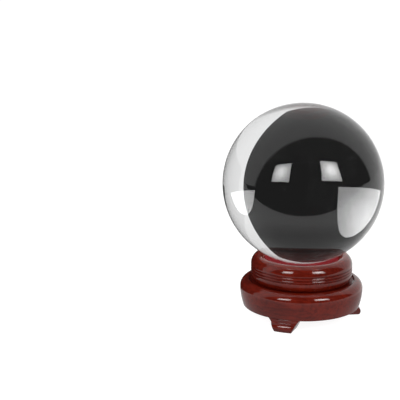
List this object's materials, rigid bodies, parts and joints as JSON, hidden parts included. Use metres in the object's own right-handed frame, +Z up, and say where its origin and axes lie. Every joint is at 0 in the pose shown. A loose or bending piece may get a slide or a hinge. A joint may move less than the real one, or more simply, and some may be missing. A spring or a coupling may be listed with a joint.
{
  "type": "crystal ball on stand",
  "caption": "Clear glass sphere seated on a round two-tier lacquered wooden stand with a felt-lined turning seat and small bracket feet.",
  "frame": {"origin": "on the table, under the middle of the stand", "axes": "+Z up along the stand's axis; -Y towards the front foot; +X to the right seen from the front foot"},
  "size_m": [0.15, 0.15, 0.2031],
  "materials": {
    "crystal": "polished clear optical glass",
    "red_felt": "short-napped red felt",
    "lacquered_wood": "dark red-brown gloss lacquer on fine-grained turned wood",
    "brass_screw": "satin brass",
    "zinc_steel": "bright zinc plate",
    "bearing_steel": "ground and polished",
    "cage_brass": "satin pressed brass",
    "nylon": "natural nylon"
  },
  "bodies": {
    "base": {"plinth": "lacquered_wood", "foot_front": "lacquered_wood", "foot_right": "lacquered_wood", "foot_left": "lacquered_wood", "foot_screw_front": "brass_screw", "foot_screw_right": "brass_screw", "foot_screw_left": "brass_screw", "pivot_bush": "nylon", "lower_race": "bearing_steel"},
    "turntable": {"seat_ring": "lacquered_wood", "seat_lining": "red_felt", "pivot_bolt": "zinc_steel", "nut_washer": "zinc_steel", "lock_nut": "zinc_steel", "upper_race": "bearing_steel"},
    "cage": {"bearing_cage": "cage_brass", "bearing_ball_1": "bearing_steel", "bearing_ball_2": "bearing_steel", "bearing_ball_3": "bearing_steel", "bearing_ball_4": "bearing_steel", "bearing_ball_5": "bearing_steel", "bearing_ball_6": "bearing_steel", "bearing_ball_7": "bearing_steel", "bearing_ball_8": "bearing_steel", "bearing_ball_9": "bearing_steel", "bearing_ball_10": "bearing_steel", "bearing_ball_11": "bearing_steel", "bearing_ball_12": "bearing_steel"},
    "ball": {"crystal_ball": "crystal"}
  },
  "joints": [
    {"name": "ring_swivel", "type": "hinge", "parent": "base", "child": "turntable", "pos_m": [0, 0, 0.0357], "axis": [0, 0, 1], "continuous": true},
    {"name": "cage_roll", "type": "hinge", "parent": "base", "child": "cage", "pos_m": [0, 0, 0.0337], "axis": [0, 0, 1], "continuous": true},
    {"name": "ball_lift", "type": "slide", "parent": "turntable", "child": "ball", "axis": [0, 0, 1], "range_m": [0, 0.06]}
  ],
  "couplings": [
    {"joint": "cage_roll", "follows": "ring_swivel", "ratio": 0.5}
  ]
}
